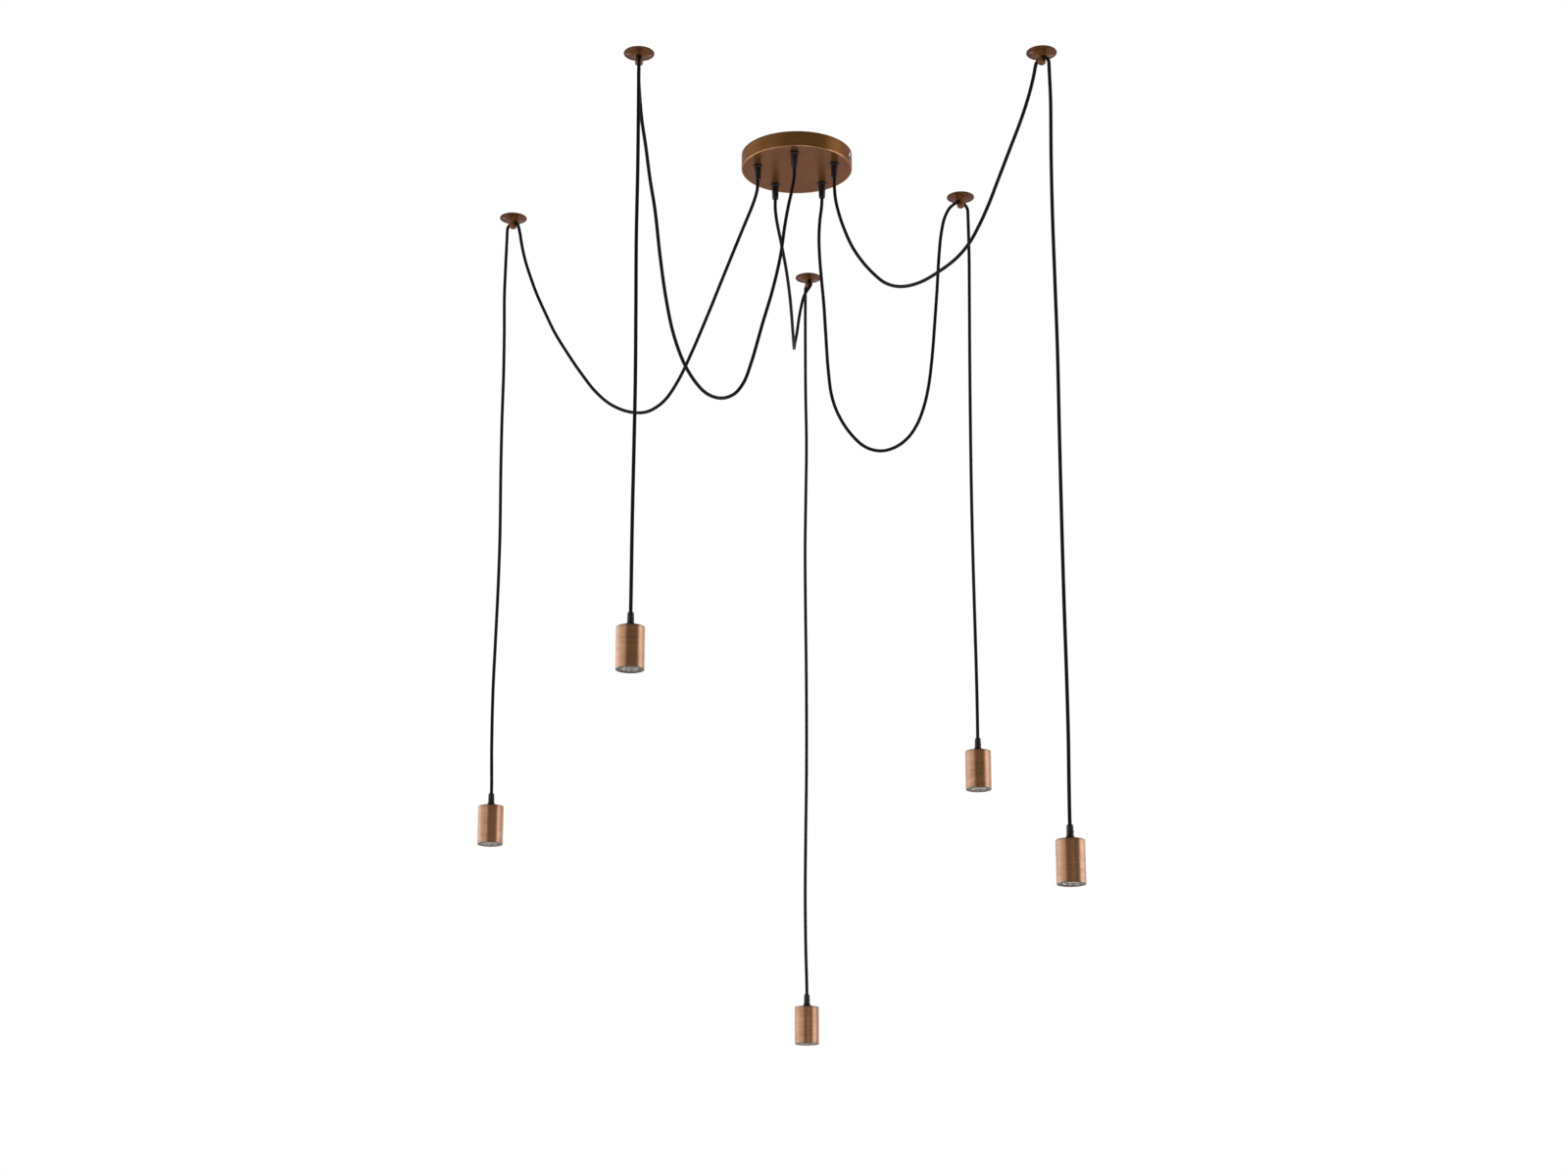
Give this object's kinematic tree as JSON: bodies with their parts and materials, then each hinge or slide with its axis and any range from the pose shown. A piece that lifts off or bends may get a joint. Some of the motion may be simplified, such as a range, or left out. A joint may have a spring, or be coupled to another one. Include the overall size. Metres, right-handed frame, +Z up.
{
  "type": "swag pendant light",
  "caption": "Ceiling light with a round canopy whose cords swag out to their own ceiling hooks and hang down with bare cylindrical lampholders.",
  "frame": {"origin": "centre of the canopy, at the ceiling's surface", "axes": "+Z up into the ceiling; +X to the right in the picture; +Y away from the camera. The object hangs below its origin."},
  "size_m": [0.9873, 1.0009, 1.502],
  "materials": {
    "antique_copper": "antique copper plated steel, satin",
    "cast_copper": "antique copper, satin, worn brighter on edges",
    "brushed_copper": "brushed antique copper with fine lines round the cup",
    "black_plastic": "satin black moulding",
    "black_cord": "matte black round cord",
    "black_bakelite": "dark heat-proof moulding",
    "nickel": "bright nickel plate",
    "brass": "plain brass strip",
    "zinc_plate": "zinc plated strip steel",
    "ivory_plastic": "pale moulding"
  },
  "bodies": {
    "ceiling_parts": {"canopy_cover": "antique_copper", "ceiling_bracket": "zinc_plate", "terminal_block": "ivory_plastic", "cord_tails": "black_cord", "side_screw_1": "nickel", "side_screw_2": "nickel", "canopy_grip_1": "black_plastic", "swag_cord_1": "black_cord", "hook_plate_1": "cast_copper", "canopy_grip_2": "black_plastic", "swag_cord_2": "black_cord", "hook_plate_2": "cast_copper", "canopy_grip_3": "black_plastic", "swag_cord_3": "black_cord", "hook_plate_3": "cast_copper", "canopy_grip_4": "black_plastic", "swag_cord_4": "black_cord", "hook_plate_4": "cast_copper", "canopy_grip_5": "black_plastic", "swag_cord_5": "black_cord", "hook_plate_5": "cast_copper"},
    "pendant_1": {"drop_cord_1": "black_cord", "lamp_grip_1": "black_plastic", "lamp_cup_1": "brushed_copper", "lamp_insert_1": "black_bakelite", "screw_shell_1": "nickel", "lamp_contact_1": "brass"},
    "pendant_2": {"drop_cord_2": "black_cord", "lamp_grip_2": "black_plastic", "lamp_cup_2": "brushed_copper", "lamp_insert_2": "black_bakelite", "screw_shell_2": "nickel", "lamp_contact_2": "brass"},
    "pendant_3": {"drop_cord_3": "black_cord", "lamp_grip_3": "black_plastic", "lamp_cup_3": "brushed_copper", "lamp_insert_3": "black_bakelite", "screw_shell_3": "nickel", "lamp_contact_3": "brass"},
    "pendant_4": {"drop_cord_4": "black_cord", "lamp_grip_4": "black_plastic", "lamp_cup_4": "brushed_copper", "lamp_insert_4": "black_bakelite", "screw_shell_4": "nickel", "lamp_contact_4": "brass"},
    "pendant_5": {"drop_cord_5": "black_cord", "lamp_grip_5": "black_plastic", "lamp_cup_5": "brushed_copper", "lamp_insert_5": "black_bakelite", "screw_shell_5": "nickel", "lamp_contact_5": "brass"},
    "knob_1": {"clamp_knob_1": "cast_copper"},
    "knob_2": {"clamp_knob_2": "cast_copper"},
    "knob_3": {"clamp_knob_3": "cast_copper"},
    "knob_4": {"clamp_knob_4": "cast_copper"},
    "knob_5": {"clamp_knob_5": "cast_copper"}
  },
  "joints": [
    {"name": "pendant_swing_1", "type": "hinge", "parent": "ceiling_parts", "child": "pendant_1", "pos_m": [-0.52509, 0.26905, -0.0105], "axis": [0.89, -0.456, 0], "range_deg": [-15, 15]},
    {"name": "pendant_swing_2", "type": "hinge", "parent": "ceiling_parts", "child": "pendant_2", "pos_m": [-0.26193, -0.37982, -0.0105], "axis": [-0.0508, 0.9987, 0], "range_deg": [-15, 15]},
    {"name": "pendant_swing_3", "type": "hinge", "parent": "ceiling_parts", "child": "pendant_3", "pos_m": [0.39491, -0.38686, -0.0105], "axis": [-0.7144, 0.6998, 0], "range_deg": [-15, 15]},
    {"name": "pendant_swing_4", "type": "hinge", "parent": "ceiling_parts", "child": "pendant_4", "pos_m": [0.30188, 0.17094, -0.0105], "axis": [-0.8702, -0.4927, 0], "range_deg": [-15, 15]},
    {"name": "pendant_swing_5", "type": "hinge", "parent": "ceiling_parts", "child": "pendant_5", "pos_m": [0.02904, 0.54675, -0.0105], "axis": [0.422, -0.9066, 0], "range_deg": [-15, 15]},
    {"name": "knob_turn_1", "type": "hinge", "parent": "ceiling_parts", "child": "knob_1", "pos_m": [-0.52509, 0.26905, -0.0185], "axis": [0, 0, -1], "range_deg": [0, 720]},
    {"name": "knob_turn_2", "type": "hinge", "parent": "ceiling_parts", "child": "knob_2", "pos_m": [-0.26193, -0.37982, -0.0185], "axis": [0, 0, -1], "range_deg": [0, 720]},
    {"name": "knob_turn_3", "type": "hinge", "parent": "ceiling_parts", "child": "knob_3", "pos_m": [0.39491, -0.38686, -0.0185], "axis": [0, 0, -1], "range_deg": [0, 720]},
    {"name": "knob_turn_4", "type": "hinge", "parent": "ceiling_parts", "child": "knob_4", "pos_m": [0.30188, 0.17094, -0.0185], "axis": [0, 0, -1], "range_deg": [0, 720]},
    {"name": "knob_turn_5", "type": "hinge", "parent": "ceiling_parts", "child": "knob_5", "pos_m": [0.02904, 0.54675, -0.0185], "axis": [0, 0, -1], "range_deg": [0, 720]}
  ]
}
